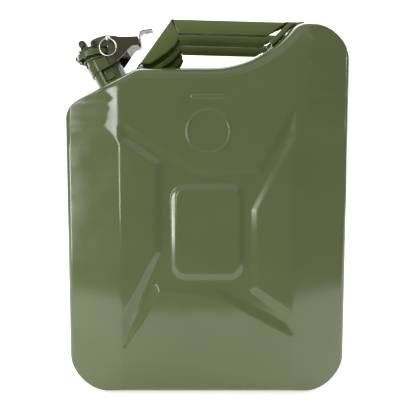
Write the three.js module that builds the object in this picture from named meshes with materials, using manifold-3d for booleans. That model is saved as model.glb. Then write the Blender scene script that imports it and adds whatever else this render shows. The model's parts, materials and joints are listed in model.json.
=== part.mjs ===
// A 20-litre pressed-steel jerry can with three carrying handles and a cam-lever closure.
// Millimetres, +Z up. X runs along the can's length (the neck is at -X, the hump at +X),
// Y runs across its width, and the can stands on Z = 0.
import * as THREE from 'three';
import { mergeVertices } from 'three/addons/utils/BufferGeometryUtils.js';
import Module from 'manifold-3d';

const wasm = await Module();
wasm.setup();

const degrees = Math.PI / 180;

// Can body
const HALF_LENGTH = 176;
const HALF_WIDTH = 82.5;
const WALL = 0.9;
const RIM_DEPTH = 22;             // the rounding between the edge band and the pressed faces,
const RIM_INSET = 12;             // across the can's width and along the face
const CREASE_X = 105;             // where the flat face breaks into the sloping end strips
const BEVEL_ANGLE = 13.5 * degrees;
const END_ROUNDING = 9;           // the rounding of the vertical edges, seen from above
const BASE_CORNER = 53;
const SHOULDER_HEIGHT = 405.5;
const SHOULDER_BREAK_X = -84.9;   // where the shoulder meets the neck's slope
const SHOULDER_BEND = 28;
const SLOPE_ANGLE = 27.5 * degrees;
const FRONT_CORNER = 35;
const HUMP_TOP = 459;
const HUMP_BACK = 55;
const HUMP_FRONT = 25;
const HUMP_FRONT_X = 119.2;
const HOLLOW = 125;               // the hollow curve that rises from the shoulder to the hump

// Seam between the two pressed halves
const GROOVE_DEPTH = 8;
const GROOVE_HALF = 9;
const SEAM_GAP = 0.15;
const BEAD_HALF = 2.5;
const BEAD_HEIGHT = 1.6;
const GAP = 0.35;                 // the clearance kept between neighbouring pieces

// Pressed cross and embossing on both faces
const PRESSING_DEPTH = 3.4;
const PRESSING_RUN = 10;
const PAD = { x: 0.5, z: 206, halfLength: 37, halfHeight: 51, corner: 11 };
const EMBOSS_HEIGHT = 0.8;
const RING_MARK = { x: 2, z: 327, radius: 25.5, halfLine: 1.6 };
const BAR_MARK = { x: 0.5, z: 369, halfLength: 20, halfHeight: 2.4 };

// Handles
const HANDLE_SPACING = 50;
const HANDLE_WIDTH = 24;
const HANDLE_SHEET = 1.8;
const HANDLE_FRONT = [-43.5, 465.4];
const HANDLE_FOOT_X = -87;
const HANDLE_FOOT_LENGTH = 13;
const FLANGE_REAR_X = 76;         // where the bar's side flanges start to narrow
const FLANGE_END_X = 92.6;
const BAR_FLANGE = 17;
const LEG_FLANGE = 20;
const REAR_FLANGE = 7;
const TAIL_END_ANGLE = -52 * degrees; // where the tail ends, seen from the hollow's centre

// Neck, in a frame whose Z is the neck's axis and whose origin is on the slope
const NECK_FROM_BREAK = 41.5;
const NECK_RADIUS = 21.5;
const NECK_BORE = 20;
const NECK_INSIDE = 14;           // how far the neck reaches down into the can
const COLLAR = { inner: 21.9, outer: 25.5, height: 2.4 };
const MOUTH_BAND = { radius: 24.1, height: 2.6, drop: 0.6 };
const BREATHER = { x: 13, radius: 4, bore: 3.1 };
const NECK_BRACKET = { sheet: 1.6, outer: 26.8, ribFront: -6.4, ribRear: -4.6, foot: 15, top: 45 };
const TONGUE_HALF = 3.4;

// Lid, in a frame whose Z is the lid's axis and whose origin is under the lid
const LID_X = -149.5;
const LID_Z = 431.2;
const LID_TILT = 12 * degrees;
const LID_RADIUS = 28.5;
const LID_HEIGHT = 8;
const LID_SHEET = 1.4;
const MOUTH_DROP = 0.85;          // the neck's mouth is this far under the lid's rim
const MOUTH_SHIFT = 4;            // the mouth's centre, seen from the lid's centre
const GASKET = { inner: 16, outer: 22.4, foot: -0.5, thickness: 3 };
const HINGE = { x: -25.1, z: 3.9, pin: 1.6, hole: 1.9, eye: 3.4, knuckle: 4.2, halfLength: 9.6 };
const NOTCH_HALF = 4.1;
const RIVET_X = -4;
const RIVET = { shank: 1.95, hole: 2.3, head: 4.2 };
const PLATE_SHEET = 1.2;
const BRACKET_SHEET = 1.6;
const CURL = { x: -16.6, z: 23.6, radius: 4.6, bore: 1.2, half: 6 };

// Lever, in a frame whose origin is its pivot and whose axes are the can's
const PIVOT_X = -148.2;
const PIVOT_Z = 446.6;
const PIVOT = { pin: 2.1, hole: 2.45, nose: 5.6, head: 3.7 };
const CHEEK_OUTER = 24.6;
const CHEEK_SHEET = 1.6;
const TAIL_HALF = 12.5;
const LOCK_PIN = {
  x: 18.6, z: 5.2, radius: 2, hole: 2.35, head: 3.3, headY: -28.2, tip: 28, collar: 3, eye: 1.75,
};
const PULL_RING = { radius: 11, wire: 0.9 };

const FRONT_X = -179.06;          // the lid's front edge, the can's foremost point
const centring = (-FRONT_X - HALF_LENGTH) / 2;

// ---------------------------------------------------------------- solids and booleans

function solidOf(geometry) {
  const bare = geometry.clone();
  bare.deleteAttribute('normal');
  bare.deleteAttribute('uv');
  const merged = mergeVertices(bare.index ? bare.toNonIndexed() : bare, 1e-3);
  return new wasm.Manifold(new wasm.Mesh({
    numProp: 3,
    vertProperties: new Float32Array(merged.attributes.position.array),
    triVerts: new Uint32Array(merged.index.array),
  }));
}

function geometryOf(solid) {
  const mesh = solid.getMesh();
  const geometry = new THREE.BufferGeometry();
  geometry.setAttribute('position', new THREE.BufferAttribute(mesh.vertProperties, 3));
  geometry.setIndex(new THREE.BufferAttribute(mesh.triVerts, 1));
  geometry.computeVertexNormals();
  return geometry;
}

const join = (...solids) => solids.reduce((sum, next) => sum.add(next));
const cut = (body, ...tools) => tools.reduce((rest, tool) => rest.subtract(tool), body);

function box(x0, x1, y0, y1, z0, z1) {
  const geometry = new THREE.BoxGeometry(x1 - x0, y1 - y0, z1 - z0);
  geometry.translate((x0 + x1) / 2, (y0 + y1) / 2, (z0 + z1) / 2);
  return solidOf(geometry);
}

// A round bar along Y.
function barAlongY(x, z, radius, y0, y1, sides = 20) {
  const geometry = new THREE.CylinderGeometry(radius, radius, y1 - y0, sides);
  geometry.translate(x, (y0 + y1) / 2, z);
  return solidOf(geometry);
}

// A round bar along Z.
function barAlongZ(radius, z0, z1, x = 0, sides = 40) {
  const geometry = new THREE.CylinderGeometry(radius, radius, z1 - z0, sides);
  geometry.rotateX(Math.PI / 2);
  geometry.translate(x, 0, (z0 + z1) / 2);
  return solidOf(geometry);
}

// A side-view shape (x, z) stretched along Y from y0 to y1.
function sidePrism(shape, y0, y1, curveSegments = 5) {
  const geometry = new THREE.ExtrudeGeometry(shape, { depth: y1 - y0, bevelEnabled: false, curveSegments });
  geometry.rotateX(Math.PI / 2);
  geometry.translate(0, y1, 0);
  return solidOf(geometry);
}

// A plan-view shape (x, y) stretched along Z from z0 to z1.
function planPrism(shape, z0, z1, curveSegments = 5) {
  const geometry = new THREE.ExtrudeGeometry(shape, { depth: z1 - z0, bevelEnabled: false, curveSegments });
  geometry.translate(0, 0, z0);
  return solidOf(geometry);
}

function polygon(points) {
  return new THREE.Shape(points.map(([x, y]) => new THREE.Vector2(x, y)));
}

// Bakes a frame (an origin in the XZ plane and a lean about Y) into a solid's geometry.
function placed(solid, [x, z], lean) {
  const geometry = geometryOf(solid);
  geometry.applyMatrix4(new THREE.Matrix4().makeRotationY(-lean));
  geometry.translate(x, 0, z);
  return solidOf(geometry);
}

// ---------------------------------------------------------------- body outline

const neckFoot = [
  SHOULDER_BREAK_X - NECK_FROM_BREAK * Math.cos(SLOPE_ANGLE),
  SHOULDER_HEIGHT - NECK_FROM_BREAK * Math.sin(SLOPE_ANGLE),
];

const frontCornerCentre = [
  -HALF_LENGTH + FRONT_CORNER,
  SHOULDER_HEIGHT - (FRONT_CORNER
    + (SHOULDER_BREAK_X + HALF_LENGTH - FRONT_CORNER) * Math.sin(SLOPE_ANGLE)) / Math.cos(SLOPE_ANGLE),
];

const hollowCentre = [
  HUMP_FRONT_X - Math.sqrt((HOLLOW + HUMP_FRONT) ** 2
    - (SHOULDER_HEIGHT + HOLLOW - HUMP_TOP + HUMP_FRONT) ** 2),
  SHOULDER_HEIGHT + HOLLOW,
];

// The can's side outline, drawn counter-clockwise and moved inwards by inset.
function canOutline(inset = 0) {
  const shape = new THREE.Shape();
  const corner = BASE_CORNER - inset;
  const halfLength = HALF_LENGTH - BASE_CORNER;
  const humpZ = HUMP_TOP - HUMP_FRONT;
  const hollowAngle = Math.atan2(hollowCentre[1] - humpZ, hollowCentre[0] - HUMP_FRONT_X);
  const bendX = SHOULDER_BREAK_X + SHOULDER_BEND * Math.tan(SLOPE_ANGLE / 2);
  shape.absarc(-halfLength, BASE_CORNER, corner, Math.PI, 1.5 * Math.PI);
  shape.absarc(halfLength, BASE_CORNER, corner, 1.5 * Math.PI, 2 * Math.PI);
  shape.absarc(HALF_LENGTH - HUMP_BACK, HUMP_TOP - HUMP_BACK, HUMP_BACK - inset, 0, Math.PI / 2);
  shape.absarc(HUMP_FRONT_X, humpZ, HUMP_FRONT - inset, Math.PI / 2, hollowAngle);
  shape.absarc(...hollowCentre, HOLLOW + inset, hollowAngle - Math.PI, -Math.PI / 2, true);
  shape.absarc(bendX, SHOULDER_HEIGHT - SHOULDER_BEND, SHOULDER_BEND - inset,
    Math.PI / 2, Math.PI / 2 + SLOPE_ANGLE);
  shape.absarc(...frontCornerCentre, FRONT_CORNER - inset, Math.PI / 2 + SLOPE_ANGLE, Math.PI);
  shape.closePath();
  return shape;
}

// The can seen from above: flat faces, sloping end strips and rounded ends.
function planOutline(inset = 0) {
  const shape = new THREE.Shape();
  const radius = END_ROUNDING - inset;
  const centreX = HALF_LENGTH - END_ROUNDING;
  const centreY = HALF_WIDTH - (END_ROUNDING + (centreX - CREASE_X) * Math.sin(BEVEL_ANGLE))
    / Math.cos(BEVEL_ANGLE);
  const creaseX = CREASE_X - inset * Math.tan(BEVEL_ANGLE / 2);
  const halfWidth = HALF_WIDTH - inset;
  const right = Math.PI / 2;
  shape.absarc(centreX, centreY, radius, 0, right - BEVEL_ANGLE);
  shape.lineTo(creaseX, halfWidth);
  shape.lineTo(-creaseX, halfWidth);
  shape.absarc(-centreX, centreY, radius, right + BEVEL_ANGLE, Math.PI);
  shape.absarc(-centreX, -centreY, radius, Math.PI, 3 * right - BEVEL_ANGLE);
  shape.lineTo(-creaseX, -halfWidth);
  shape.lineTo(creaseX, -halfWidth);
  shape.absarc(centreX, -centreY, radius, 3 * right + BEVEL_ANGLE, 4 * right);
  shape.closePath();
  return shape;
}

// The closed pillow that the two halves are cut from.
function pillow(inset = 0) {
  const rimDepth = RIM_DEPTH - inset;
  const rimInset = RIM_INSET - inset;
  const halfWidth = HALF_WIDTH - inset;
  const geometry = new THREE.ExtrudeGeometry(canOutline(inset), {
    depth: 2 * (halfWidth - rimDepth),
    bevelEnabled: true,
    bevelThickness: rimDepth,
    bevelSize: rimInset,
    bevelOffset: -rimInset,
    bevelSegments: 3,
    curveSegments: 4,
  });
  geometry.rotateX(Math.PI / 2);
  geometry.translate(0, halfWidth - rimDepth, 0);
  return solidOf(geometry).intersect(planPrism(planOutline(inset), -10, HUMP_TOP + 10, 3));
}

// Everything outside the can's outline within a band across the seam.
function seamBand(depth, half) {
  const margin = 20;
  const frame = polygon([
    [-HALF_LENGTH - margin, -margin], [HALF_LENGTH + margin, -margin],
    [HALF_LENGTH + margin, HUMP_TOP + margin], [-HALF_LENGTH - margin, HUMP_TOP + margin],
  ]);
  frame.holes.push(new THREE.Path(canOutline(depth).getPoints(4).reverse()));
  return sidePrism(frame, -half, half);
}

// ---------------------------------------------------------------- pressed cross

// The cross between the four outer panels, clockwise: each arm runs from the centre to a crease.
const crossOutline = [
  [-100, 331], [-13, 279], [63, 280], [103, 349],
  [103, 322], [57, 233], [57, 135], [103, 101],
  [103, 82], [15, 132], [-60, 138], [-100, 66],
  [-100, 98], [-59, 182], [-58, 289], [-100, 319],
];

// Moves each side of a clockwise polygon outwards by distance, keeping the corners sharp.
function grownPolygon(points, distance) {
  return points.map((point, i) => {
    const corner = new THREE.Vector2(...point);
    const before = corner.clone().sub(new THREE.Vector2(...points.at(i - 1))).normalize();
    const after = new THREE.Vector2(...points[(i + 1) % points.length]).sub(corner).normalize();
    const outwards = new THREE.Vector2(-before.y - after.y, before.x + after.x);
    outwards.multiplyScalar(distance / (1 + before.dot(after)));
    return corner.add(outwards).toArray();
  });
}

// Counter-clockwise points of a rounded rectangle, grown outwards all round.
function roundedRectangle({ x, z, halfLength, halfHeight, corner }, grow = 0) {
  const path = new THREE.Path();
  const right = Math.PI / 2;
  const alongX = halfLength - corner;
  const alongZ = halfHeight - corner;
  path.absarc(x + alongX, z + alongZ, corner + grow, 0, right);
  path.absarc(x - alongX, z + alongZ, corner + grow, right, 2 * right);
  path.absarc(x - alongX, z - alongZ, corner + grow, 2 * right, 3 * right);
  path.absarc(x + alongX, z - alongZ, corner + grow, 3 * right, 4 * right);
  return path.getPoints(3).map((point) => point.toArray());
}

// A block between two side-view outlines with the same number of points, counter-clockwise,
// the first at y0 and the second at y1, further along +Y.
function slopedBlock(first, y0, second, y1) {
  const count = first.length;
  const ring = (points, y) => points.flatMap(([x, z]) => [x, y, z]);
  const geometry = new THREE.BufferGeometry();
  const positions = [...ring(first, y0), ...ring(second, y1)];
  geometry.setAttribute('position', new THREE.Float32BufferAttribute(positions, 3));
  const cap = THREE.ShapeUtils.triangulateShape(first.map(([x, z]) => new THREE.Vector2(x, z)), []);
  const near = cap.flat();
  const far = cap.flatMap(([a, b, c]) => [a + count, c + count, b + count]);
  const walls = first.flatMap((_, i) => {
    const next = (i + 1) % count;
    return [i, i + count, next, next, i + count, next + count];
  });
  geometry.setIndex([...near, ...far, ...walls]);
  return solidOf(geometry);
}

// The hollow that is pushed into the near face. A shift moves it inwards by the sheet's
// thickness, which gives the pressing's inner side.
function facePressing(shift = 0) {
  const face = -HALF_WIDTH + shift;
  const outside = 1;
  const run = PRESSING_RUN / PRESSING_DEPTH;
  const opening = grownPolygon(crossOutline, PRESSING_RUN / 2 + outside * run).reverse();
  const floor = grownPolygon(crossOutline, -PRESSING_RUN / 2).reverse();
  const hollow = slopedBlock(opening, face - outside, floor, face + PRESSING_DEPTH);
  const padTop = roundedRectangle(PAD, -outside * run);
  const padFoot = roundedRectangle(PAD, PRESSING_RUN + outside * run);
  const pad = slopedBlock(padTop, face - outside, padFoot, face + PRESSING_DEPTH + outside);
  const padLimit = box(-HALF_LENGTH, HALF_LENGTH, face, 0, 0, HUMP_TOP);
  return cut(hollow, pad.intersect(padLimit));
}

// A plain ring and a bar, raised on the near face.
function embossing() {
  const ring = new THREE.Shape();
  ring.absarc(RING_MARK.x, RING_MARK.z, RING_MARK.radius + RING_MARK.halfLine, 0, 2 * Math.PI);
  const hole = new THREE.Path();
  hole.absarc(RING_MARK.x, RING_MARK.z, RING_MARK.radius - RING_MARK.halfLine, 0, 2 * Math.PI, true);
  ring.holes.push(hole);
  const bar = roundedRectangle({ ...BAR_MARK, corner: BAR_MARK.halfHeight });
  const top = -HALF_WIDTH - EMBOSS_HEIGHT;
  const foot = -HALF_WIDTH + WALL / 2;
  return [sidePrism(ring, top, foot, 16), sidePrism(polygon(bar), top, foot)];
}

// ---------------------------------------------------------------- body pieces

function neckBar(radius, from, to) {
  return placed(barAlongZ(radius, from, to), neckFoot, SLOPE_ANGLE);
}

function nearShell() {
  const outer = join(
    cut(pillow(), seamBand(GROOVE_DEPTH, GROOVE_HALF), facePressing()),
    ...embossing(),
  );
  const inner = cut(
    pillow(WALL),
    seamBand(GROOVE_DEPTH + WALL, GROOVE_HALF + WALL),
    facePressing(WALL),
  );
  const nearSide = box(-HALF_LENGTH - 5, HALF_LENGTH + 5, -HALF_WIDTH - 5, -SEAM_GAP, -5, HUMP_TOP + 5);
  const neckHole = neckBar(NECK_RADIUS + GAP, -30, 10);
  return cut(outer, inner, neckHole).intersect(nearSide);
}

// The far half is the near half mirrored across the seam.
function mirrored(geometry) {
  const copy = geometry.clone();
  copy.scale(1, -1, 1);
  const index = copy.index.array;
  for (let i = 0; i < index.length; i += 3) {
    [index[i], index[i + 1]] = [index[i + 1], index[i]];
  }
  copy.computeVertexNormals();
  return copy;
}

// The weld bead that runs along the groove's floor and stops on both sides of the neck.
function seamWeld() {
  const outer = polygon(canOutline(GROOVE_DEPTH - GAP - BEAD_HEIGHT).getPoints(4).map((p) => p.toArray()));
  outer.holes.push(new THREE.Path(canOutline(GROOVE_DEPTH - GAP).getPoints(4).reverse()));
  return cut(sidePrism(outer, -BEAD_HALF, BEAD_HALF), neckBar(COLLAR.outer + 1, -30, 10));
}

// ---------------------------------------------------------------- handles

// A strip of sheet that follows an open side-view line, thickness to its right-hand side.
function bentStrip(points, thickness, y0, y1) {
  const line = points.map(([x, z]) => new THREE.Vector2(x, z));
  const inner = line.map((point, i) => {
    const before = i > 0 ? point.clone().sub(line[i - 1]).normalize() : null;
    const after = i < line.length - 1 ? line[i + 1].clone().sub(point).normalize() : null;
    const first = before ?? after;
    const second = after ?? before;
    const side = new THREE.Vector2(first.y + second.y, -first.x - second.x);
    return point.clone().add(side.multiplyScalar(thickness / (1 + first.dot(second))));
  });
  return sidePrism(new THREE.Shape([...line, ...inner.reverse()]), y0, y1);
}

function arcPoint([x, z], radius, angle) {
  return [x + radius * Math.cos(angle), z + radius * Math.sin(angle)];
}

function between(from, to, steps) {
  return Array.from({ length: steps + 1 }, (_, i) => from + (to - from) * i / steps);
}

// The line that the strap's tail follows over the hump's front and down its hollow slope,
// lifted off the can.
function tailLine(lift) {
  const hump = [HUMP_FRONT_X, HUMP_TOP - HUMP_FRONT];
  const meeting = Math.atan2(hollowCentre[1] - hump[1], hollowCentre[0] - hump[0]);
  const overHump = between(Math.PI / 2, meeting, 4)
    .map((angle) => arcPoint(hump, HUMP_FRONT + lift, angle));
  const downSlope = between(meeting - Math.PI, TAIL_END_ANGLE, 3).slice(1)
    .map((angle) => arcPoint(hollowCentre, HOLLOW - lift, angle));
  return [...overHump, ...downSlope];
}

// One strap: a leg up from the shoulder, the grip bar, and a tail that lies on the hump's slope.
function handleStrap() {
  const half = HANDLE_WIDTH / 2;
  const footZ = SHOULDER_HEIGHT + GAP;
  const foot = [HANDLE_FOOT_X, footZ];
  const tail = tailLine(GAP + HANDLE_SHEET);
  const rear = tail[0];
  const legLength = Math.hypot(HANDLE_FRONT[0] - foot[0], HANDLE_FRONT[1] - foot[1]);
  const down = [(foot[0] - HANDLE_FRONT[0]) / legLength, (foot[1] - HANDLE_FRONT[1]) / legLength];
  const onLeg = (along, deep) => [
    HANDLE_FRONT[0] + along * down[0] - deep * down[1],
    HANDLE_FRONT[1] + along * down[1] + deep * down[0],
  ];
  const barZ = (x) => HANDLE_FRONT[1]
    + (rear[1] - HANDLE_FRONT[1]) * (x - HANDLE_FRONT[0]) / (rear[0] - HANDLE_FRONT[0]);
  const onBar = (x, deep) => [x, barZ(x) - deep];
  const legFlange = polygon([
    onLeg(1, 0.3), onLeg(legLength - 5, 0.3), onLeg(legLength - 9, 5), onLeg(legLength - 17, 12),
    onLeg(38, LEG_FLANGE - 0.5), onLeg(19, LEG_FLANGE + 1),
  ]);
  const barFlange = polygon([
    onBar(HANDLE_FRONT[0] + 1.5, 0.3), onBar(HANDLE_FRONT[0] + 7, BAR_FLANGE),
    onBar(FLANGE_REAR_X, BAR_FLANGE), onBar(FLANGE_END_X, REAR_FLANGE - 1), onBar(FLANGE_END_X, 0.3),
  ]);
  const slopeTail = tail.slice(4);
  const tailFlange = polygon([...slopeTail, ...tailLine(GAP + REAR_FLANGE).slice(4).reverse()]);
  const solids = [
    bentStrip([foot, HANDLE_FRONT, rear], HANDLE_SHEET, -half, half),
    bentStrip(tail, -HANDLE_SHEET, -half, half),
    box(foot[0], foot[0] + HANDLE_FOOT_LENGTH, -half, half, footZ, footZ + HANDLE_SHEET),
  ];
  for (const y of [-half, half - HANDLE_SHEET]) {
    for (const flange of [legFlange, barFlange, tailFlange]) {
      solids.push(sidePrism(flange, y, y + HANDLE_SHEET));
    }
  }
  return join(...solids);
}

// ---------------------------------------------------------------- neck pieces, in the neck's frame

// The mouth's plane, as a block over it: the mouth is cut to the lid's tilt.
function overMouth() {
  const geometry = new THREE.BoxGeometry(120, 120, 80);
  geometry.translate(0, 0, 40 - MOUTH_DROP);
  geometry.rotateY(-LID_TILT);
  geometry.translate(LID_X, 0, LID_Z);
  geometry.translate(-neckFoot[0], 0, -neckFoot[1]);
  geometry.rotateY(SLOPE_ANGLE);
  return solidOf(geometry);
}

function neckTube() {
  const outer = barAlongZ(NECK_RADIUS, -NECK_INSIDE, 70);
  const bore = barAlongZ(NECK_BORE, -NECK_INSIDE - 1, 71);
  return cut(outer, bore, overMouth());
}

// A raised band round the neck's mouth, parallel to the lid.
function neckRim() {
  const { radius, height, drop } = MOUTH_BAND;
  const ring = new THREE.CylinderGeometry(radius, radius, height, 40);
  ring.rotateX(Math.PI / 2);
  ring.translate(MOUTH_SHIFT, 0, -MOUTH_DROP - drop - height / 2);
  ring.rotateY(-LID_TILT);
  ring.translate(LID_X - neckFoot[0], 0, LID_Z - neckFoot[1]);
  ring.rotateY(SLOPE_ANGLE);
  return cut(solidOf(ring), barAlongZ(NECK_RADIUS + GAP, -5, 80), hingeSlot());
}

// Room in front of the mouth for the hinge tongue.
function hingeSlot() {
  return box(-40, -NECK_RADIUS + 2, -NOTCH_HALF, NOTCH_HALF, 30, 80);
}

function neckCollar() {
  return cut(barAlongZ(COLLAR.outer, GAP, GAP + COLLAR.height), barAlongZ(COLLAR.inner, -1, 10));
}

// The air pipe inside the neck: it lets air back into the space under the hump.
function breatherTube() {
  const { x, radius } = BREATHER;
  const stops = [[x, 38], [x, 12], [x, -14], [22, -32], [44, -46]];
  const path = new THREE.CatmullRomCurve3(stops.map(([along, up]) => new THREE.Vector3(along, 0, up)));
  const section = new THREE.Shape();
  section.absarc(0, 0, radius, 0, 2 * Math.PI);
  const bore = new THREE.Path();
  bore.absarc(0, 0, BREATHER.bore, 0, 2 * Math.PI, true);
  section.holes.push(bore);
  return solidOf(new THREE.ExtrudeGeometry(section, {
    extrudePath: path, steps: 14, curveSegments: 6, bevelEnabled: false,
  }));
}

// The hinge's place in the neck's frame.
function hingeInNeckFrame() {
  const across = new THREE.Vector3(0, 1, 0);
  const point = new THREE.Vector3(HINGE.x, 0, HINGE.z).applyAxisAngle(across, -LID_TILT);
  point.add(new THREE.Vector3(LID_X - neckFoot[0], 0, LID_Z - neckFoot[1]));
  return point.applyAxisAngle(across, SLOPE_ANGLE);
}

// The saddle round the neck: a front band, two straight ribs, two guide plates that stand
// clear of the lever's cheeks, two lower lugs and the tongue that carries the lid's hinge.
function neckBracket() {
  const { sheet, outer, ribFront, ribRear, foot, top } = NECK_BRACKET;
  const bandFoot = 32;
  const inside = NECK_RADIUS + GAP;
  const lugInner = inside + 0.2;
  const band = barAlongZ(inside + sheet, bandFoot, top).intersect(box(-40, ribRear, -40, 40, 0, 80));
  const solids = [band];
  for (const side of [-1, 1]) {
    const across = (from, to) => (side > 0 ? [from, to] : [-to, -from]);
    solids.push(box(ribFront, ribRear, ...across(inside - 0.6, outer), foot, top));
    solids.push(box(ribRear - 0.5, 9, ...across(outer - sheet, outer), 30, top - 1));
    solids.push(box(ribRear - 0.5, 8, ...across(lugInner, lugInner + sheet), foot, 23));
  }
  const hinge = hingeInNeckFrame();
  const armTop = hinge.z - 6.6;
  const armFoot = armTop - 1.8;
  const back = hinge.x + 0.6;
  const tongue = [
    box(-inside - sheet, -inside, -TONGUE_HALF, TONGUE_HALF, top - 1, armTop),
    box(back, -inside, -TONGUE_HALF, TONGUE_HALF, armFoot, armTop),
    box(back, back + 1.8, -TONGUE_HALF, TONGUE_HALF, armFoot, hinge.z),
    barAlongY(hinge.x, hinge.z, HINGE.eye, -TONGUE_HALF, TONGUE_HALF),
  ];
  const pinHole = barAlongY(hinge.x, hinge.z, HINGE.hole, -20, 20, 16);
  return cut(join(...solids, ...tongue), barAlongZ(inside, 0, 80), pinHole);
}

// ---------------------------------------------------------------- lid pieces, in the lid's frame

function hingePin() {
  return barAlongY(HINGE.x, HINGE.z, HINGE.pin, -HINGE.halfLength, HINGE.halfLength, 16);
}

function rivetHole() {
  return barAlongZ(RIVET.hole, 0, 20, RIVET_X, 16);
}

// The pressed cap, with a notch for the hinge's tongue and a knuckle on both sides of it.
function lidCap() {
  const cavityTop = LID_HEIGHT - LID_SHEET;
  const cavityFloor = -1;
  const hingeBlock = { rear: -18.6, half: 17 };
  const knuckleEnd = HINGE.halfLength - 1;
  const knuckles = [[-knuckleEnd, -NOTCH_HALF], [NOTCH_HALF, knuckleEnd]];
  return cut(
    join(
      barAlongZ(LID_RADIUS, 0, LID_HEIGHT),
      ...knuckles.map(([y0, y1]) => barAlongY(HINGE.x, HINGE.z, HINGE.knuckle, y0, y1, 28)),
    ),
    cut(
      barAlongZ(LID_RADIUS - LID_SHEET, cavityFloor, cavityTop),
      box(-LID_RADIUS, hingeBlock.rear, -hingeBlock.half, hingeBlock.half, cavityFloor, LID_HEIGHT),
    ),
    box(HINGE.x - 8, HINGE.x + HINGE.eye + 0.5, -NOTCH_HALF, NOTCH_HALF, cavityFloor, LID_HEIGHT + 8),
    barAlongY(HINGE.x, HINGE.z, HINGE.hole, -20, 20, 16),
    rivetHole(),
  );
}

// The sealing washer, centred on the neck's mouth.
function lidGasket() {
  return cut(
    barAlongZ(GASKET.outer, GASKET.foot, GASKET.foot + GASKET.thickness, MOUTH_SHIFT),
    barAlongZ(GASKET.inner, GASKET.foot - 1, 10, MOUTH_SHIFT),
  );
}

// The plate that holds the sealing washer up inside the lid.
function gasketPlate() {
  const low = GASKET.foot + GASKET.thickness + GAP;
  const high = LID_HEIGHT - LID_SHEET - GAP;
  const hubRadius = GASKET.inner - GAP;
  const rim = barAlongZ(GASKET.outer, low, high, MOUTH_SHIFT);
  const hub = barAlongZ(hubRadius, GASKET.foot, low + 0.5, MOUTH_SHIFT);
  const dish = barAlongZ(hubRadius - 1.4, GASKET.foot - 1, high - PLATE_SHEET, MOUTH_SHIFT);
  return cut(join(rim, hub), dish, rivetHole());
}

// The rivet that holds the bracket, the lid and the washer plate together.
function lidRivet() {
  const top = LID_HEIGHT + GAP + BRACKET_SHEET + GAP;
  const under = LID_HEIGHT - LID_SHEET - GAP - PLATE_SHEET - GAP;
  return join(
    barAlongZ(RIVET.shank, under - 0.5, top + 0.5, RIVET_X, 16),
    barAlongZ(RIVET.head, top, top + 1.4, RIVET_X, 16),
    barAlongZ(RIVET.head, under - 1.2, under, RIVET_X, 16),
  );
}

// The saddle riveted on the lid: two ears for the lever and a curled stop at the front.
function lidBracket() {
  const floor = LID_HEIGHT + GAP;
  const deck = floor + BRACKET_SHEET;
  const half = CHEEK_OUTER - CHEEK_SHEET - 1.2;
  const pivot = pivotInLidFrame();
  const front = -19.6;
  const rear = 19;
  const hem = 5;
  const solids = [
    box(front, rear, -half, half, floor, deck),
    box(front, front + BRACKET_SHEET, -CURL.half, CURL.half, floor, CURL.z),
    barAlongY(CURL.x, CURL.z, CURL.radius, -CURL.half, CURL.half),
  ];
  for (const side of [-1, 1]) {
    const y0 = side > 0 ? half - BRACKET_SHEET : -half;
    const y1 = y0 + BRACKET_SHEET;
    solids.push(box(pivot.x - 6, pivot.x + 6, y0, y1, floor, pivot.z));
    solids.push(box(-12, rear, y0, y1, floor, floor + hem));
    solids.push(barAlongY(pivot.x, pivot.z, 6, y0, y1));
  }
  return cut(
    join(...solids),
    barAlongY(CURL.x, CURL.z, CURL.bore, -CURL.half - 1, CURL.half + 1),
    barAlongY(pivot.x, pivot.z, PIVOT.hole, -30, 30, 16),
    rivetHole(),
  );
}

function pivotInLidFrame() {
  return new THREE.Vector3(PIVOT_X - LID_X, 0, PIVOT_Z - LID_Z)
    .applyAxisAngle(new THREE.Vector3(0, 1, 0), LID_TILT);
}

// ---------------------------------------------------------------- lever pieces, in the lever's frame

// The lever's side view: a round nose at the pivot, the hump over the lock pin, the straight
// tail, and the lobes that hang down beside the neck.
function leverSide() {
  const shape = new THREE.Shape();
  shape.absarc(0, 0, PIVOT.nose, 1.2 * Math.PI, 0.62 * Math.PI, true);
  shape.quadraticCurveTo(7, 9.2, 16.5, 10.8);
  shape.quadraticCurveTo(23, 10.2, 33, 9.6);
  shape.lineTo(45, 11.4);
  shape.lineTo(55.4, 13.2);
  shape.lineTo(56.2, 1.8);
  shape.lineTo(48.2, 0.2);
  shape.quadraticCurveTo(44, -3.4, 39.6, -10);
  shape.lineTo(31, -20.7);
  shape.quadraticCurveTo(26, -26, 20.4, -29.4);
  shape.lineTo(15.6, -22);
  shape.lineTo(17.6, -15);
  shape.lineTo(17.6, -3);
  shape.lineTo(6, -4.6);
  shape.closePath();
  return shape;
}

// The lever seen from above: parallel cheeks at the neck that draw in to a narrow tail.
function leverPlan(inset) {
  const wide = CHEEK_OUTER - inset;
  const narrow = TAIL_HALF - inset;
  return polygon([
    [-20, -wide], [26, -wide], [55, -narrow], [90, -narrow],
    [90, narrow], [55, narrow], [26, wide], [-20, wide],
  ]);
}

// The folded sheet: two cheeks, a web along the top and a short web under the tail.
function lever() {
  const side = sidePrism(leverSide(), -40, 40, 6);
  const whole = side.intersect(planPrism(leverPlan(0), -60, 60));
  const cheeks = cut(whole, planPrism(leverPlan(CHEEK_SHEET), -61, 61));
  const topWeb = cut(whole, shifted(side, 0, -CHEEK_SHEET)).intersect(box(9, 55.2, -40, 40, 4, 40));
  const tailWeb = cut(whole, shifted(side, 0, CHEEK_SHEET)).intersect(box(41, 56, -40, 40, -12, 4));
  return cut(
    join(cheeks, topWeb, tailWeb),
    barAlongY(0, 0, PIVOT.hole, -30, 30, 16),
    barAlongY(LOCK_PIN.x, LOCK_PIN.z, LOCK_PIN.hole, -30, 30, 16),
  );
}

function shifted(solid, dx, dz) {
  const geometry = geometryOf(solid);
  geometry.translate(dx, 0, dz);
  return solidOf(geometry);
}

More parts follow.
